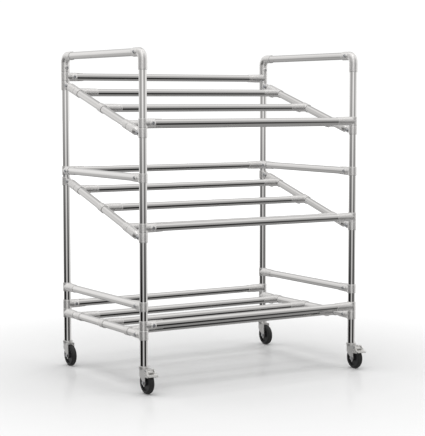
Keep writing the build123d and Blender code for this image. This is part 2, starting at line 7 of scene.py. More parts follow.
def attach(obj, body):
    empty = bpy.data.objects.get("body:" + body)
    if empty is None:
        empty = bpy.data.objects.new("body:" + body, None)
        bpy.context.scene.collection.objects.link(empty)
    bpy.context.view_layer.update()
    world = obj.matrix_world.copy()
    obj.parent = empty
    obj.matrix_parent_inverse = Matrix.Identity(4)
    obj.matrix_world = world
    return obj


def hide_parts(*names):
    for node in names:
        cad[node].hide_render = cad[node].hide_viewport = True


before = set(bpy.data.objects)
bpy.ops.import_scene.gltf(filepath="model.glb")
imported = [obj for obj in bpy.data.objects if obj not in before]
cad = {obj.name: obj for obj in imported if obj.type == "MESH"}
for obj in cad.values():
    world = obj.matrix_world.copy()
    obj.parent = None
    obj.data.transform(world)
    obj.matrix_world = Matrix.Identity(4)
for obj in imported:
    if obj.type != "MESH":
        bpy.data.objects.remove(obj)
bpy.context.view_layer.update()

# ---- camera ---------------------------------------------------------------------------------
# A long lens, standing to the front left of the trolley and a little above it.

camera_data = bpy.data.cameras.new("camera")
camera_data.sensor_width = 36.0
camera_data.lens = camera_data.sensor_width * 1401.0 / 436.0
camera_data.clip_end = 100.0
camera = bpy.data.objects.new("camera", camera_data)
camera.location = (-2.820, -4.647, 1.047)
camera.rotation_euler = (math.radians(90 - 4.88), 0, math.radians(-31.41))
bpy.context.scene.collection.objects.link(camera)
bpy.context.scene.camera = camera
bpy.context.scene.view_settings.view_transform = "Standard"
bpy.context.scene.view_settings.look = "None"

# ---- studio floor ---------------------------------------------------------------------------
# One pale painted floor with a faint polish. Its colour is a painted shade near the trolley, and
# away from the trolley it grows lighter with a painted glow and runs out into the white surround.

floor_radius = 60.0
fade_start = 0.5
fade_end = 2.4
# The floor's grey near the trolley is a painted shade.
shaded_floor_grey = 0.585
white = 1.05

floor_mesh = bpy.data.meshes.new("studio_floor")
bm = bmesh.new()
bmesh.ops.create_circle(bm, cap_ends=True, segments=96, radius=floor_radius)
bm.to_mesh(floor_mesh)
bm.free()
studio_floor = bpy.data.objects.new("studio_floor", floor_mesh)
studio_floor.visible_glossy = False
bpy.context.scene.collection.objects.link(studio_floor)

floor_shade_and_glow = bpy.data.materials.new("floor_shade_and_glow")
floor_shade_and_glow.use_nodes = True
floor_tree = floor_shade_and_glow.node_tree
shader = floor_tree.nodes["Principled BSDF"]
shader.inputs["Roughness"].default_value = 0.16
shader.inputs["Specular IOR Level"].default_value = 0.02
floor_place = floor_tree.nodes.new("ShaderNodeTexCoord")
floor_reach = floor_tree.nodes.new("ShaderNodeVectorMath")
floor_reach.operation = "LENGTH"
floor_tree.links.new(floor_place.outputs["Object"], floor_reach.inputs[0])
# Painted shade and painted light: near the trolley the base colour is darkened, and farther out
# it fades away while the floor glows white.
for target, near, far in (("Base Color", shaded_floor_grey, 0.0), ("Emission Color", 0.0, 1.0)):
    fade = floor_tree.nodes.new("ShaderNodeMapRange")
    fade.interpolation_type = "SMOOTHSTEP"
    fade.inputs["From Min"].default_value = fade_start
    fade.inputs["From Max"].default_value = fade_end
    fade.inputs["To Min"].default_value = near
    fade.inputs["To Max"].default_value = far
    floor_tree.links.new(floor_reach.outputs["Value"], fade.inputs["Value"])
    floor_tree.links.new(fade.outputs["Result"], shader.inputs[target])
shader.inputs["Emission Strength"].default_value = white
floor_mesh.materials.append(floor_shade_and_glow)

# ---- studio surround ------------------------------------------------------------------------
# A white cyclorama behind, and in front of the trolley a darker room with one tall window
# of light, which together draw the long dark lines down the tubes.

world = bpy.data.worlds.new("studio")
world.use_nodes = True
bpy.context.scene.world = world
tree = world.node_tree
tree.nodes.clear()


def studio_node(kind, **settings):
    """A node of the surround's tree, with its settings."""
    node = tree.nodes.new(kind)
    for key, value in settings.items():
        setattr(node, key, value)
    return node


def studio_math(operation, *values):
    """One step of arithmetic on sockets or numbers."""
    node = studio_node("ShaderNodeMath", operation=operation)
    for socket, value in zip(node.inputs, values):
        if isinstance(value, float):
            socket.default_value = value
        else:
            tree.links.new(value, socket)
    return node.outputs["Value"]


def studio_dot(direction):
    """How far the ray points along a direction."""
    node = studio_node("ShaderNodeVectorMath", operation="DOT_PRODUCT")
    tree.links.new(ray.outputs["Generated"], node.inputs[0])
    node.inputs[1].default_value = direction
    return node.outputs["Value"]


def studio_ramp(fraction, stops):
    """Grey levels at the given fractions."""
    node = studio_node("ShaderNodeValToRGB")
    tree.links.new(fraction, node.inputs["Fac"])
    points = node.color_ramp.elements
    while len(points) < len(stops):
        points.new(0.5)
    for point, (place, level) in zip(points, stops):
        point.position = place
        point.color = (level, level, level, 1)
    return node.outputs["Color"]


# Rise goes from 0 straight down to 1 straight up; turn is 0.5 towards the viewer, and 0 and 1
# away from them.
ray = studio_node("ShaderNodeTexCoord")
to_viewer = (-0.519, -0.855, 0)
to_right = (0.855, -0.519, 0)
rise = studio_math("MULTIPLY_ADD", studio_dot((0, 0, 1)), 0.5, 0.5)
bearing = studio_math("ARCTAN2", studio_dot(to_right), studio_dot(to_viewer))
turn = studio_math("MULTIPLY_ADD", studio_math("DIVIDE", bearing, math.pi), 0.5, 0.5)

front_room = studio_ramp(rise, (
    (0.0, 0.42), (0.06, 0.38), (0.10, 0.20), (0.14, 0.03), (0.18, 0.003), (0.43, 0.004),
    (0.455, 0.09), (0.475, 0.22), (0.50, 0.40), (0.70, 0.38), (0.88, 0.60), (1.0, 1.0)))
back_wall = studio_ramp(rise, (
    (0.0, 0.30), (0.10, 0.30), (0.20, 0.40), (0.35, 0.54), (0.45, 0.74), (0.50, 0.94),
    (0.62, 0.94), (0.85, 0.84), (1.0, 0.9)))
window = studio_ramp(turn, (
    (0.36, 0.0), (0.42, 0.08), (0.46, 0.50), (0.49, 0.68), (0.52, 0.54), (0.56, 0.20),
    (0.61, 0.0)))
ahead = studio_ramp(turn, (
    (0.0, 0.55), (0.05, 0.72), (0.10, 1.0), (0.90, 1.0), (0.95, 0.72), (1.0, 0.55)))
backness = studio_ramp(turn, (
    (0.14, 1.0), (0.24, 0.0), (0.62, 0.0), (0.685, 0.03), (0.715, 0.35), (0.76, 1.0)))

lit_room = studio_node("ShaderNodeMix", data_type="RGBA", blend_type="ADD")
lit_room.inputs["Factor"].default_value = 1.0
tree.links.new(front_room, lit_room.inputs["A"])
tree.links.new(window, lit_room.inputs["B"])
surround = studio_node("ShaderNodeMix", data_type="RGBA")
tree.links.new(backness, surround.inputs["Factor"])
tree.links.new(lit_room.outputs["Result"], surround.inputs["A"])
behind = studio_node("ShaderNodeMix", data_type="RGBA", blend_type="MULTIPLY")
behind.inputs["Factor"].default_value = 1.0
tree.links.new(back_wall, behind.inputs["A"])
tree.links.new(ahead, behind.inputs["B"])
tree.links.new(behind.outputs["Result"], surround.inputs["B"])
seen = studio_node("ShaderNodeMix", data_type="RGBA")
path = studio_node("ShaderNodeLightPath")
tree.links.new(path.outputs["Is Camera Ray"], seen.inputs["Factor"])
tree.links.new(surround.outputs["Result"], seen.inputs["A"])
seen.inputs["B"].default_value = (white, white, white, 1)
light_out = studio_node("ShaderNodeBackground")
tree.links.new(seen.outputs["Result"], light_out.inputs["Color"])
output = studio_node("ShaderNodeOutputWorld")
tree.links.new(light_out.outputs["Background"], output.inputs["Surface"])

# ---- studio light ---------------------------------------------------------------------------
# One broad soft box overhead, which lifts the floor to white and lays soft shadows. It is kept
# out of the metal's reflections, which belong to the surround.

light = bpy.data.lights.new("top_box", "AREA")
light.shape = "RECTANGLE"
light.size = 5.0
light.size_y = 5.0
light.energy = 260
top_box = bpy.data.objects.new("top_box", light)
top_box.location = (0, 0, 4.5)
top_box.visible_glossy = False
bpy.context.scene.collection.objects.link(top_box)

# ---- metal grain ----------------------------------------------------------------------------
# Every finish of the trolley has the same build: a fine grain in a direction of its own, and
# broad faint patches from handling over it. Each material gives them its own size and depth.

grain_group = bpy.data.node_groups.new("surface_grain", "ShaderNodeTree")
for socket_name, kind, standard in (
        ("Grain Size", "NodeSocketVector", (0.001, 0.001, 0.001)),
        ("Grain Turn", "NodeSocketVector", (0, 0, 0)),
        ("Light Tone", "NodeSocketColor", (0.8, 0.8, 0.8, 1)),
        ("Dark Tone", "NodeSocketColor", (0.7, 0.7, 0.7, 1)),
        ("Smoothest", "NodeSocketFloat", 0.1),
        ("Roughest", "NodeSocketFloat", 0.2),
        ("Relief", "NodeSocketFloat", 0.1)):
    group_input = grain_group.interface.new_socket(socket_name, in_out="INPUT", socket_type=kind)
    group_input.default_value = standard
grain_group.interface.new_socket("Tone", in_out="OUTPUT", socket_type="NodeSocketColor")
grain_group.interface.new_socket("Roughness", in_out="OUTPUT", socket_type="NodeSocketFloat")
grain_group.interface.new_socket("Normal", in_out="OUTPUT", socket_type="NodeSocketVector")

given = grain_group.nodes.new("NodeGroupInput")
made = grain_group.nodes.new("NodeGroupOutput")
place = grain_group.nodes.new("ShaderNodeTexCoord")
stretch = grain_group.nodes.new("ShaderNodeMapping")
stretch.vector_type = "TEXTURE"
fine = grain_group.nodes.new("ShaderNodeTexNoise")
fine.inputs["Scale"].default_value = 1.0
fine.inputs["Detail"].default_value = 4.0
patches = grain_group.nodes.new("ShaderNodeTexNoise")
patches.inputs["Scale"].default_value = 34.0
patches.inputs["Detail"].default_value = 3.0
both = grain_group.nodes.new("ShaderNodeMix")
both.inputs["Factor"].default_value = 0.35
tone = grain_group.nodes.new("ShaderNodeMix")
tone.data_type = "RGBA"
gloss = grain_group.nodes.new("ShaderNodeMapRange")
gloss.inputs["From Min"].default_value = 0.3
gloss.inputs["From Max"].default_value = 0.7
relief = grain_group.nodes.new("ShaderNodeBump")
relief.inputs["Distance"].default_value = 0.0002
for source, target in (
        (place.outputs["Object"], stretch.inputs["Vector"]),
        (given.outputs["Grain Size"], stretch.inputs["Scale"]),
        (given.outputs["Grain Turn"], stretch.inputs["Rotation"]),
        (stretch.outputs["Vector"], fine.inputs["Vector"]),
        (place.outputs["Object"], patches.inputs["Vector"]),
        (fine.outputs["Fac"], both.inputs["A"]),
        (patches.outputs["Fac"], both.inputs["B"]),
        (both.outputs["Result"], tone.inputs["Factor"]),
        (given.outputs["Dark Tone"], tone.inputs["A"]),
        (given.outputs["Light Tone"], tone.inputs["B"]),
        (both.outputs["Result"], gloss.inputs["Value"]),
        (given.outputs["Smoothest"], gloss.inputs["To Min"]),
        (given.outputs["Roughest"], gloss.inputs["To Max"]),
        (fine.outputs["Fac"], relief.inputs["Height"]),
        (given.outputs["Relief"], relief.inputs["Strength"]),
        (tone.outputs["Result"], made.inputs["Tone"]),
        (gloss.outputs["Result"], made.inputs["Roughness"]),
        (relief.outputs["Normal"], made.inputs["Normal"])):
    grain_group.links.new(source, target)


def grained(name, metallic, light_tone, dark_tone, gloss_range, size, relief_depth,
            spin=(0, 0, 0)):
    """A material on the shared grain, with its tones, gloss, grain size and relief."""
    material = bpy.data.materials.new(name)
    material.use_nodes = True
    nodes = material.node_tree.nodes
    shader = nodes["Principled BSDF"]
    shader.inputs["Metallic"].default_value = metallic
    grain = nodes.new("ShaderNodeGroup")
    grain.node_tree = grain_group
    grain.inputs["Grain Size"].default_value = size
    grain.inputs["Grain Turn"].default_value = spin
    grain.inputs["Light Tone"].default_value = (*light_tone, 1)
    grain.inputs["Dark Tone"].default_value = (*dark_tone, 1)
    grain.inputs["Smoothest"].default_value = gloss_range[0]
    grain.inputs["Roughest"].default_value = gloss_range[1]
    grain.inputs["Relief"].default_value = relief_depth
    link = material.node_tree.links.new
    link(grain.outputs["Tone"], shader.inputs["Base Color"])
    link(grain.outputs["Roughness"], shader.inputs["Roughness"])
    link(grain.outputs["Normal"], shader.inputs["Normal"])
    return material


# ---- tubes ----------------------------------------------------------------------------------
# Round aluminium tube, drawn through a die and anodised, so fine lines run along it. Each
# length is sawn square, its rims are broken, and its ends are pushed into the cast joints.

tube_radius = 0.014
tube_wall = 0.0015
rim_break = 0.0004
rim_angle = 1.0
weld = 0.000002
tube_words = ("upright", "tube", "rail", "guard")
tube_nodes = [node for node in cad if any(word in node for word in tube_words)
              and "joints" not in node and "sockets" not in node]


def solids_of(node):
    """The points of each separate solid of a CAD node, in the same order on every run."""
    bm = bmesh.new()
    bm.from_mesh(cad[node].data)
    bmesh.ops.remove_doubles(bm, verts=bm.verts, dist=weld)
    left = dict.fromkeys(bm.verts)
    solids = []
    while left:
        group = [left.popitem()[0]]
        for vert in group:
            for edge in vert.link_edges:
                other = edge.other_vert(vert)
                if other in left:
                    del left[other]
                    group.append(other)
        solids.append([vert.co.copy() for vert in group])
    bm.free()
    return solids


def box_of(points):
    """The lowest corner, the highest corner and the middle of some points."""
    low = Vector([min(point[n] for point in points) for n in range(3)])
    high = Vector([max(point[n] for point in points) for n in range(3)])
    return low, high, (low + high) / 2


def ends_of(points):
    """The two ends of a tube's axis, from the rings of points at its ends."""
    low, high, middle = box_of(points)
    size = high - low
    axis = max(range(3), key=lambda n: size[n])
    halves = ([], [])
    for point in points:
        halves[point[axis] > middle[axis]].append(point)
    return [sum(half, Vector()) / len(half) for half in halves]


def add_tube(bm, start, end):
    """One length of tube between the two ends of its axis."""
    length = (end - start).length
    piece = bmesh.new()
    bmesh.ops.create_circle(piece, cap_ends=True, segments=64, radius=tube_radius)
    bmesh.ops.inset_region(piece, faces=piece.faces[:], thickness=tube_wall,
                           use_even_offset=True, use_boundary=True)
    middle = max(piece.faces, key=lambda face: len(face.verts))
    bmesh.ops.delete(piece, geom=[middle], context="FACES_ONLY")
    drawn = bmesh.ops.extrude_face_region(piece, geom=piece.faces[:])
    moved = [part for part in drawn["geom"] if isinstance(part, bmesh.types.BMVert)]
    bmesh.ops.translate(piece, verts=moved, vec=(0, 0, length))
    bmesh.ops.recalc_face_normals(piece, faces=piece.faces)
    rims = [edge for edge in piece.edges if edge.calc_face_angle(0) > rim_angle]
    bmesh.ops.bevel(piece, geom=rims, offset=rim_break, offset_type="OFFSET", segments=2,
                    profile=0.5, affect="EDGES", material=-1)
    turn = Vector((0, 0, 1)).rotation_difference(end - start).to_matrix().to_4x4()
    bmesh.ops.transform(piece, matrix=Matrix.Translation(start) @ turn, verts=piece.verts)
    take_in(bm, piece)


def take_in(bm, piece):
    """Adds one finished bmesh to another and frees it."""
    mesh = bpy.data.meshes.new("part")
    piece.to_mesh(mesh)
    piece.free()
    bm.from_mesh(mesh)
    bpy.data.meshes.remove(mesh)


def piece_from(name, bm, material, node, body, crease=38):
    """Makes a bmesh the piece that stands for a CAD node, smooth up to the crease angle.

    Its neighbours don't mirror it, so the long lines down the tubes stay whole.
    """
    mesh = bpy.data.meshes.new(name)
    bm.to_mesh(mesh)
    bm.free()
    mesh.materials.append(material)
    mesh.shade_smooth()
    mesh.set_sharp_from_angle(angle=math.radians(crease))
    piece = bpy.data.objects.new(name, mesh)
    bpy.context.scene.collection.objects.link(piece)
    piece.visible_glossy = False
    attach(piece, body)
    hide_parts(node)


tube_lines = {node: sorted((ends_of(solid) for solid in solids_of(node)),
                           key=lambda line: line[0].y) for node in tube_nodes}
rail_start, rail_end = tube_lines["top_side_rail_left"][0]
slope = math.atan2((rail_end - rail_start).z, (rail_end - rail_start).y)

draw_light = (0.89, 0.875, 0.86)
draw_dark = (0.82, 0.805, 0.79)
draw_gloss = (0.03, 0.08)
line_width = 0.0012
line_length = 0.3
level_rise = 0.01
tube_crease = 15
finish_up = grained("tube_upright", 1.0, draw_light, draw_dark, draw_gloss,
                    (line_width, line_width, line_length), 0.0)
finish_across = grained("tube_across", 1.0, draw_light, draw_dark, draw_gloss,
                        (line_length, line_width, line_width), 0.0)
finish_deep = grained("tube_level", 1.0, draw_light, draw_dark, draw_gloss,
                      (line_width, line_length, line_width), 0.0)
finish_sloped = grained("tube_sloped", 1.0, draw_light, draw_dark, draw_gloss,
                        (line_width, line_length, line_width), 0.0, (slope, 0, 0))

for node in tube_nodes:
    bm = bmesh.new()
    for start, end in tube_lines[node]:
        add_tube(bm, start, end)
    run = tube_lines[node][0][1] - tube_lines[node][0][0]
    if abs(run.z) > abs(run.x) + abs(run.y):
        finish = finish_up
    elif abs(run.x) > abs(run.y):
        finish = finish_across
    else:
        finish = finish_sloped if abs(run.z) > level_rise else finish_deep
    piece_from("drawn_" + node, bm, finish, node, "frame", tube_crease)

# ---- cast joints ----------------------------------------------------------------------------
# Die-cast aluminium, blasted to a pale matte skin. Where two limbs of a casting meet the metal
# runs together in a fillet; the bores and the screw seats are machined into it afterwards.

bore_radius = tube_radius + 0.0001
sleeve_radius = bore_radius + 0.0024
sleeve_length = 0.034
branch_length = 0.044
tongue_length = 0.077
tongue_lap = 0.003
tongue_tip_radius = bore_radius + 0.0013
tongue_cut = -0.4 * sleeve_radius
branch_seat = tube_radius + 0.002
screw_place = 0.031
screw_radius = 0.00405
head_radius = 0.00605
head_seat = sleeve_radius + 0.0007
boss_radius = 0.0085
boss_height = 0.0032
low_boss_radius = 0.007
low_boss_height = 0.0015
bore_run = 0.1
hole_run = 0.03
seat_run = 0.01
bore_segments = 64
hole_segments = 32
turn_to_x = Matrix.Rotation(math.radians(90), 4, "Y")
turn_to_y = Matrix.Rotation(math.radians(-90), 4, "X")


def add_cylinder(bm, place, length, radius, end_radius=None, segments=48):
    """A closed cylinder or cone that starts at a place and runs along its +Z."""
    middle = place @ Matrix.Translation((0, 0, length / 2))
    bmesh.ops.create_cone(bm, cap_ends=True, segments=segments, radius1=radius,
                          radius2=radius if end_radius is None else end_radius,
                          depth=length, matrix=middle)


def shape(steps):
    """A bmesh of closed cylinders, one for each step."""
    bm = bmesh.new()
    for step in steps:
        add_cylinder(bm, *step)
    return bm


def object_from(name, bm):
    """A plain object of a bmesh, for the work between the steps of a casting."""
    mesh = bpy.data.meshes.new(name)
    bm.to_mesh(mesh)
    bm.free()
    thing = bpy.data.objects.new(name, mesh)
    bpy.context.scene.collection.objects.link(thing)
    return thing


def baked_mesh(thing):
    """The mesh of an object with its modifiers applied; the object goes."""
    mesh = bpy.data.meshes.new_from_object(
        thing.evaluated_get(bpy.context.evaluated_depsgraph_get()))
    old = thing.data
    bpy.data.objects.remove(thing)
    bpy.data.meshes.remove(old)
    return mesh


def cast(name, limbs, cuts, kept=0.30):
    """Runs the limbs together with a fillet, then machines the cuts into them."""
    blank = object_from(name, limbs)
    skin = blank.modifiers.new("skin", "REMESH")
    skin.mode = "VOXEL"
    skin.voxel_size = 0.001
    soften = blank.modifiers.new("soften", "SMOOTH")
    soften.factor = 0.5
    soften.iterations = 7
    thin = blank.modifiers.new("thin", "DECIMATE")
    thin.ratio = kept
    tools = []
    for number, cut in enumerate(cuts):
        tool = object_from(f"{name}_tool_{number}", shape((cut,)))
        work = blank.modifiers.new(f"cut_{number}", "BOOLEAN")
        work.operation = "DIFFERENCE"
        work.solver = "EXACT"
        work.object = tool
        tools.append(tool)
    mesh = baked_mesh(blank)
    for tool in tools:
        old = tool.data
        bpy.data.objects.remove(tool)
        bpy.data.meshes.remove(old)
    return mesh


def branch_limbs(bm, angle, face_radius, face_height):
    """One branch of a tee: socket, tapered tongue behind the tube, and screw boss."""
    swing = Matrix.Rotation(math.radians(angle), 4, "Z")
    add_cylinder(bm, swing @ turn_to_x, branch_length, sleeve_radius)
    tongue = shape(((turn_to_x @ Matrix.Translation((0, 0, branch_length - tongue_lap)),
                     tongue_length - branch_length + tongue_lap, sleeve_radius,
                     tongue_tip_radius),))
    cut = bmesh.ops.bisect_plane(
        tongue, geom=tongue.verts[:] + tongue.edges[:] + tongue.faces[:],
        plane_co=(0, tongue_cut, 0), plane_no=(0, -1, 0), clear_outer=True)
    rim = [part for part in cut["geom_cut"] if isinstance(part, bmesh.types.BMEdge)]
    bmesh.ops.contextual_create(tongue, geom=rim)
    bmesh.ops.recalc_face_normals(tongue, faces=tongue.faces)
    bmesh.ops.transform(tongue, matrix=swing, verts=tongue.verts)
    take_in(bm, tongue)
    foot = swing @ Matrix.Translation((screw_place, 0, 0)) @ turn_to_y.inverted()
    add_cylinder(bm, foot, sleeve_radius + face_height, face_radius)


def branch_cuts(angle, flush):
    """The tube socket, the screw hole and the seat of its head in one branch."""
    swing = Matrix.Rotation(math.radians(angle), 4, "Z")
    socket = swing @ Matrix.Translation((branch_seat, 0, 0)) @ turn_to_x
    foot = swing @ Matrix.Translation((screw_place, 0, 0)) @ turn_to_y.inverted()
    cuts = [(socket, bore_run, bore_radius, None, bore_segments),
            (foot, hole_run, screw_radius, None, hole_segments)]
    if not flush:
        seat = foot @ Matrix.Translation((0, 0, head_seat))
        cuts.append((seat, seat_run, head_radius, None, hole_segments))
    return cuts


def tee(name, angles, flush=False):
    """A sleeve with one or two branches."""
    sleeve_foot = Matrix.Translation((0, 0, -sleeve_length / 2))
    bore_foot = Matrix.Translation((0, 0, -bore_run / 2))
    limbs = shape(((sleeve_foot, sleeve_length, sleeve_radius),))
    cuts = [(bore_foot, bore_run, bore_radius, None, bore_segments)]
    for angle in angles:
        if flush:
            branch_limbs(limbs, angle, low_boss_radius, low_boss_height)
        else:
            branch_limbs(limbs, angle, boss_radius, boss_height)
        cuts += branch_cuts(angle, flush)
    return cast(name, limbs, cuts)


cast_tee = tee("cast_tee", (0,))
cast_flush_tee = tee("cast_flush_tee", (0,), flush=True)
cast_corner = tee("cast_corner", (0, 90))

# The elbow at each end of a handle bends a quarter turn, with a leg for either tube.
bend_radius = 0.026
elbow_seat = 0.020
handle_leg = 0.064
upright_leg = 0.0626
elbow_screw = 0.0443
elbow_kept = 0.4
bend_lap = 0.0005

elbow_limbs = shape((
    (Matrix.Translation((0, 0, -upright_leg)), upright_leg - bend_radius, sleeve_radius),
    (Matrix.Translation((0, bend_radius, 0)) @ turn_to_y, handle_leg - bend_radius,
     sleeve_radius),
    (Matrix.Translation((0, screw_place, 0)) @ turn_to_x.inverted(),
     sleeve_radius + boss_height, boss_radius),
    (Matrix.Translation((0, 0, -elbow_screw)) @ turn_to_y,
     sleeve_radius + low_boss_height, low_boss_radius)))
bend = bmesh.new()
bmesh.ops.create_circle(bend, cap_ends=True, segments=48, radius=sleeve_radius,
                        matrix=Matrix.Translation((0, 0, -bend_radius - bend_lap)))
bmesh.ops.spin(bend, geom=bend.faces[:], cent=(0, bend_radius, -bend_radius), axis=(1, 0, 0),
               angle=math.radians(-90), steps=14, use_duplicate=False)
bmesh.ops.remove_doubles(bend, verts=bend.verts, dist=0.00001)
bmesh.ops.recalc_face_normals(bend, faces=bend.faces)
take_in(elbow_limbs, bend)
elbow_cuts = (
    (Matrix.Translation((0, 0, -elbow_seat - bore_run)),
     bore_run, bore_radius, None, bore_segments),
    (Matrix.Translation((0, elbow_seat, 0)) @ turn_to_y,
     bore_run, bore_radius, None, bore_segments),
    (Matrix.Translation((0, screw_place, 0)) @ turn_to_x.inverted(),
     hole_run, screw_radius, None, hole_segments),
    (Matrix.Translation((-head_seat, screw_place, 0)) @ turn_to_x.inverted(),
     seat_run, head_radius, None, hole_segments),
    (Matrix.Translation((0, 0, -elbow_screw)) @ turn_to_y,
     hole_run, screw_radius, None, hole_segments))
cast_elbow = cast("cast_elbow", elbow_limbs, elbow_cuts, elbow_kept)

casting = grained("blasted_casting", 0.85, (0.88, 0.865, 0.85), (0.78, 0.765, 0.75), (0.26, 0.38),
                  (0.0008, 0.0008, 0.0008), 0.05)

across = {side: box_of(solids_of(f"upright_front_{side}")[0])[2].x for side in ("left", "right")}
depth = {end: box_of(solids_of(f"upright_{end}_left")[0])[2].y for end in ("front", "rear")}


def level(node):
    """The height of a level tube's axis."""
    return tube_lines[node][0][0].z


def standing(side, end, height, angle, turned_over=False):
    """The place of a tee on an upright, its branch turned about the upright."""
    place = Matrix.Translation((across[side], depth[end], height))
    place = place @ Matrix.Rotation(math.radians(angle), 4, "Z")
    return place @ Matrix.Rotation(math.radians(180), 4, "X") if turned_over else place


def cast_piece(node, parts):
    """The castings of one CAD node, each a pattern at its place."""
    bm = bmesh.new()
    for pattern, place in parts:
        copy = pattern.copy()
        copy.transform(place)
        bm.from_mesh(copy)
        bpy.data.meshes.remove(copy)
    piece_from("cast_" + node, bm, casting, node, "frame")


def rail_tees(*rails):
    """The pair of tees at the ends of each rail."""
    parts = []
    for rail, end in rails:
        parts.append((cast_tee, standing("left", end, level(rail), 0)))
        parts.append((cast_tee, standing("right", end, level(rail), 180)))
    return parts


def guard_tees(height, *ends):
    """The tees of the side tubes at one height, at the given ends."""
    parts = []
    for side in ("left", "right"):
        for end in ends:
            angle = 90 if end == "front" else -90
            parts.append((cast_tee, standing(side, end, height, angle, True)))
    return parts


cast_piece("top_rail_joints", rail_tees(("top_front_rail", "front"), ("top_rear_rail", "rear")))
cast_piece("middle_rail_joints", rail_tees(("middle_front_rail", "front"))
           + guard_tees(level("middle_side_guard_left"), "front"))
cast_piece("bottom_rail_joints", rail_tees(
    ("bottom_front_rail", "front"), ("bottom_rear_rail", "rear")))
cast_piece("side_tube_joints", guard_tees(level("bottom_side_guard_left"), "front", "rear")
           + guard_tees(level("bottom_side_rail_left"), "front", "rear"))
cast_piece("middle_corner_joints", (
    (cast_corner, standing("left", "rear", level("middle_rear_rail"), -90)),
    (cast_corner, standing("right", "rear", level("middle_rear_rail"), 180))))
cast_piece("handle_elbows", [
    (cast_elbow, standing(side, end, level("handle_tube_left"), 0 if end == "front" else 180))
    for side in ("left", "right") for end in ("front", "rear")])

cross_parts = []
for shelf, tilt in (("top", slope), ("middle", slope), ("bottom", 0)):
    for start, end in tube_lines[f"{shelf}_cross_tubes"]:
        for side, half_turn in (("left", 0), ("right", 180)):
            place = Matrix.Translation((across[side], start.y, start.z))
            place = place @ Matrix.Rotation(tilt, 4, "X")
            place = place @ Matrix.Rotation(math.radians(half_turn), 4, "Z")
            place = place @ Matrix.Rotation(math.radians(90), 4, "X")
            cross_parts.append((cast_flush_tee, place))
cast_piece("cross_tube_joints", cross_parts)

# ---- pivot joints ---------------------------------------------------------------------------
# The same casting metal: a split clamp round each upright with two flat ears, and between the
# ears the flat tongue of the socket that the sloped rail is held in. One bolt joins them.

pivot_reach = sleeve_radius + 0.0085
ear_radius = 0.0105
ear_outside = 0.00865
slot_half = 0.00365
tongue_half = 0.0035
nose_start = 0.014
socket_start = 0.025
rail_seat = 0.031
tongue_radius = 0.85 * ear_radius
ear_foot = 0.002
ear_undercut = 0.0012
split_half = 0.0015
slot_height = 0.03
slot_end = 0.06
socket_gap = 0.0004
shortest_bolt = 0.02


def add_block(bm, low, high):
    """A closed block between two corners."""
    made = bmesh.ops.create_cube(bm, size=1.0)
    size = Vector(high) - Vector(low)
    bmesh.ops.scale(bm, verts=made["verts"], vec=size)
    bmesh.ops.translate(bm, verts=made["verts"], vec=Vector(low) + size / 2)


def cut_block(mesh, low, high):
    """A mesh with a block taken out of it."""
    blank = bpy.data.objects.new("blank", mesh)
    bpy.context.scene.collection.objects.link(blank)
    tool_bm = bmesh.new()
    add_block(tool_bm, low, high)
    tool = object_from("tool", tool_bm)
    work = blank.modifiers.new("slot", "BOOLEAN")
    work.operation = "DIFFERENCE"
    work.solver = "EXACT"
    work.object = tool
    result = baked_mesh(blank)
    old = tool.data
    bpy.data.objects.remove(tool)
    bpy.data.meshes.remove(old)
    return result


clamp_limbs = shape((
    (Matrix.Translation((0, 0, -sleeve_length / 2)), sleeve_length, sleeve_radius),
    (Matrix.Translation((pivot_reach, -ear_outside, 0)) @ turn_to_y,
     2 * ear_outside, ear_radius)))
add_block(clamp_limbs, (ear_foot, -ear_outside, -ear_radius),
          (pivot_reach, ear_outside, ear_radius))
clamp_cuts = (
    (Matrix.Translation((0, 0, -bore_run / 2)), bore_run, bore_radius, None, bore_segments),
    (Matrix.Translation((pivot_reach, -hole_run, 0)) @ turn_to_y,
     2 * hole_run, screw_radius, None, hole_segments))
cast_clamp = cast("cast_clamp", clamp_limbs, clamp_cuts)
cast_clamp = cut_block(cast_clamp, (sleeve_radius - ear_undercut, -slot_half, -slot_height),
                       (slot_end, slot_half, slot_height))
cast_clamp = cut_block(cast_clamp, (0, -split_half, -slot_height),
                       (slot_end / 2, split_half, slot_height))

hinges = []
for solid in solids_of("pivot_bolts"):
    low, high, middle = box_of(solid)
    if high.x - low.x > shortest_bolt:
        side = "left" if middle.x < 0 else "right"
        hinges.append((side, "front" if middle.y < 0 else "rear",
                       Vector((across[side], middle.y, middle.z))))
front_cross = tube_lines["middle_cross_tubes"][0][0]
front_hinge = min((hinge for side, end, hinge in hinges if end == "front"),
                  key=lambda hinge: hinge.z)
socket_end = (front_cross.yz - front_hinge.yz).length - sleeve_length / 2 - socket_gap

socket_limbs = shape((
    (Matrix.Translation((socket_start, 0, 0)) @ turn_to_x,
     socket_end - socket_start, sleeve_radius),
    (Matrix.Translation((nose_start, 0, 0)) @ turn_to_x,
     socket_start - nose_start + 0.001, tongue_radius, sleeve_radius),
    (Matrix.Translation((0, -tongue_half, 0)) @ turn_to_y, 2 * tongue_half, tongue_radius)))
add_block(socket_limbs, (0, -tongue_half, -tongue_radius),
          (socket_start + 0.002, tongue_half, tongue_radius))
socket_cuts = (
    (Matrix.Translation((rail_seat, 0, 0)) @ turn_to_x,
     bore_run, bore_radius, None, bore_segments),
    (Matrix.Translation((0, -hole_run, 0)) @ turn_to_y,
     2 * hole_run, screw_radius, None, hole_segments))
cast_socket = cast("cast_socket", socket_limbs, socket_cuts)

clamp_parts = []
socket_parts = []
for side, end, hinge in hinges:
    angle = 90 if end == "front" else -90
    clamp_parts.append((cast_clamp, standing(side, end, hinge.z, angle, end == "front")))
    place = Matrix.Translation(hinge) @ Matrix.Rotation(slope, 4, "X")
    socket_parts.append((cast_socket, place @ Matrix.Rotation(math.radians(angle), 4, "Z")))
cast_piece("pivot_clamps", clamp_parts)
cast_piece("rail_sockets", socket_parts)

# ---- screws and bolts -----------------------------------------------------------------------
# Steel, turned and zinc plated: cap screws with a hexagon socket, flush set screws, and the
# pivot bolts with their nuts.

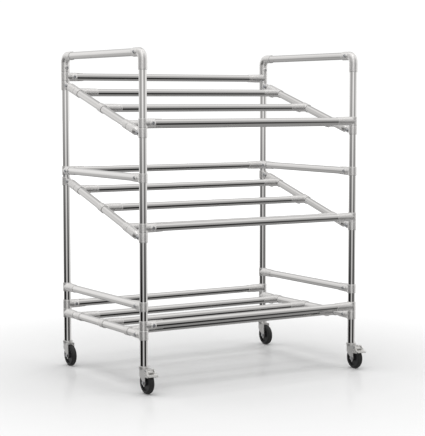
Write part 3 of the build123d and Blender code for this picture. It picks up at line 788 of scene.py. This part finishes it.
zinc = grained("zinc_plate", 1.0, (0.66, 0.665, 0.68), (0.50, 0.505, 0.52), (0.22, 0.38),
               (0.0008, 0.0008, 0.0008), 0.12)


def repaint(node, material):
    """Gives a CAD node one material."""
    mesh = cad[node].data
    mesh.materials.clear()
    mesh.materials.append(material)


for node in ("joint_screws", "pivot_bolts"):
    repaint(node, zinc)

# ---- casters --------------------------------------------------------------------------------
# A pressed and zinc-plated fork turns on a ring of balls under a fixed collar; the king pin's
# stem is gripped in the upright by a rubber expander. The front pair have a toe pedal.

sheet_steel = grained("zinc_sheet", 0.85, (0.78, 0.77, 0.755), (0.64, 0.63, 0.615), (0.27, 0.42),
                      (0.004, 0.004, 0.004), 0.05)
pedal_steel = grained("zinc_pedal", 0.9, (0.82, 0.81, 0.79), (0.66, 0.65, 0.63), (0.22, 0.36),
                      (0.004, 0.004, 0.004), 0.05)
ball_steel = grained("ball_steel", 1.0, (0.75, 0.75, 0.76), (0.66, 0.66, 0.67), (0.05, 0.10),
                     (0.001, 0.001, 0.001), 0.02)
expander_rubber = grained("expander_rubber", 0.0, (0.045, 0.045, 0.045), (0.02, 0.02, 0.02),
                          (0.55, 0.75), (0.0008, 0.0008, 0.0008), 0.3)
repaint("caster_collars", sheet_steel)
repaint("caster_stems", zinc)
repaint("caster_balls", ball_steel)
repaint("caster_expanders", expander_rubber)
for node in cad:
    if node.startswith("fork_"):
        repaint(node, sheet_steel)
    elif node.startswith("axle_"):
        repaint(node, zinc)
    elif node.startswith("brake_pedal_"):
        repaint(node, pedal_steel)

# ---- wheels ---------------------------------------------------------------------------------
# A black moulded core on the axle bolt, with a solid black rubber tread moulded round it. The
# tread has a fine mould line round its middle and a shallow groove near each shoulder.

wheel_radius = 0.042
tread_inner = 0.034
half_width = 0.010
shoulder = 0.0078
shoulder_steps = 12
line_height = 0.0003
line_edge = 0.0012

core_plastic = grained("core_plastic", 0.0, (0.020, 0.020, 0.021), (0.011, 0.011, 0.012),
                       (0.32, 0.48), (0.0007, 0.0007, 0.0007), 0.25)
tread_rubber = grained("tread_rubber", 0.0, (0.020, 0.0195, 0.019), (0.008, 0.008, 0.008),
                       (0.42, 0.66), (0.0009, 0.0009, 0.0009), 0.4)


def tyre_profile():
    """Half of the tread's section as (from the middle, radius) pairs, middle to bore."""
    line = [(0, wheel_radius), (line_height, wheel_radius - line_height),
            (line_edge, wheel_radius - line_height)]
    for step in range(shoulder_steps + 1):
        bend_angle = math.radians(90 * step / shoulder_steps)
        line.append((half_width - shoulder + shoulder * math.sin(bend_angle),
                     wheel_radius - line_height - shoulder + shoulder * math.cos(bend_angle)))
        if step == 5:
            across_at, radius_at = line[-1]
            line.append((across_at + 0.0002, radius_at - 0.0007))
            line.append((across_at + 0.0008, radius_at - 0.0010))
    line.append((half_width, tread_inner))
    return line


def add_tyre(bm):
    """The tread, spun round the X axis."""
    half = tyre_profile()
    section = [(-wide, high) for wide, high in reversed(half[1:])] + half
    points = [bm.verts.new((wide, 0, high)) for wide, high in section]
    edges = [bm.edges.new(pair) for pair in zip(points, points[1:])]
    edges.append(bm.edges.new((points[-1], points[0])))
    bmesh.ops.spin(bm, geom=points + edges, cent=(0, 0, 0), axis=(1, 0, 0),
                   angle=math.radians(360), steps=72, use_merge=True)
    bmesh.ops.remove_doubles(bm, verts=bm.verts, dist=0.000001)
    bmesh.ops.recalc_face_normals(bm, faces=bm.faces)


for corner in ("front_left", "front_right", "rear_left", "rear_right"):
    _, _, centre = box_of(solids_of(f"tyre_{corner}")[0])
    bm = bmesh.new()
    add_tyre(bm)
    bmesh.ops.translate(bm, verts=bm.verts, vec=centre)
    piece_from(f"tread_{corner}", bm, tread_rubber, f"tyre_{corner}", f"wheel_body_{corner}")
    repaint(f"hub_{corner}", core_plastic)
